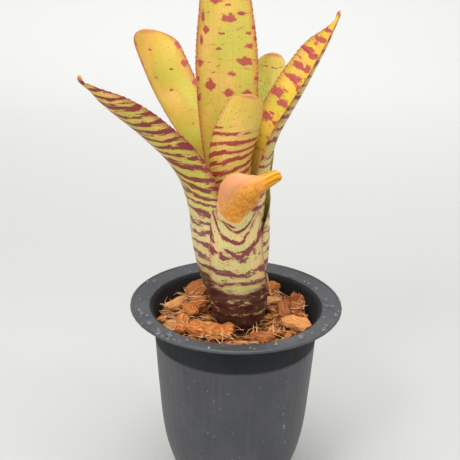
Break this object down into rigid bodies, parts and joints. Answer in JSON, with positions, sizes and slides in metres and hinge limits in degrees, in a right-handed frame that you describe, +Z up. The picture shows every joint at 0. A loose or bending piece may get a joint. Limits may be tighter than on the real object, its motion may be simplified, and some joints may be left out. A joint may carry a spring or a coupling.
{
  "type": "potted bromeliad",
  "caption": "Small tank bromeliad with banded strap leaves sheathed into an upright tube, growing in husk chips in a round flared plastic pot.",
  "frame": {"origin": "centre of the pot's flat underside, on the surface it stands on", "axes": "+Z up along the pot's axis; +X to the viewer's right and +Y away from the viewer at the pot's front"},
  "size_m": [0.1185, 0.105, 0.2633],
  "materials": {
    "pot_plastic": "matt dark grey moulded plastic, faint vertical flow marks and dried mineral specks",
    "growing_medium": "packed damp coconut husk, dark brown and fibrous",
    "husk_chip": "rough orange-brown coconut husk with raised fibres",
    "husk_strand": "pale tan husk fibre",
    "stem_base": "dry brown leaf scars",
    "leaf_green": "satin yellow-green living leaf with irregular maroon cross bands",
    "leaf_dry": "green banded sheath whose short blade has dried to orange"
  },
  "bodies": {
    "root": {"growing_medium": "growing_medium", "husk_chip_01": "husk_chip", "husk_chip_02": "husk_chip", "husk_chip_03": "husk_chip", "husk_chip_04": "husk_chip", "husk_chip_05": "husk_chip", "husk_chip_06": "husk_chip", "husk_chip_07": "husk_chip", "husk_chip_08": "husk_chip", "husk_chip_09": "husk_chip", "husk_chip_10": "husk_chip", "husk_chip_11": "husk_chip", "husk_chip_12": "husk_chip", "husk_chip_13": "husk_chip", "husk_chip_14": "husk_chip", "husk_chip_15": "husk_chip", "husk_chip_16": "husk_chip", "husk_chip_17": "husk_chip", "husk_chip_18": "husk_chip", "husk_chip_19": "husk_chip", "husk_strand": "husk_strand", "leaf_back_left": "leaf_green", "leaf_back_right": "leaf_green", "leaf_back_tall": "leaf_green", "leaf_inner_front": "leaf_green", "leaf_left_arching": "leaf_green", "leaf_outer_front_dry": "leaf_dry", "leaf_right_arching": "leaf_green", "pot": "pot_plastic", "stem": "stem_base"}
  },
  "joints": []
}
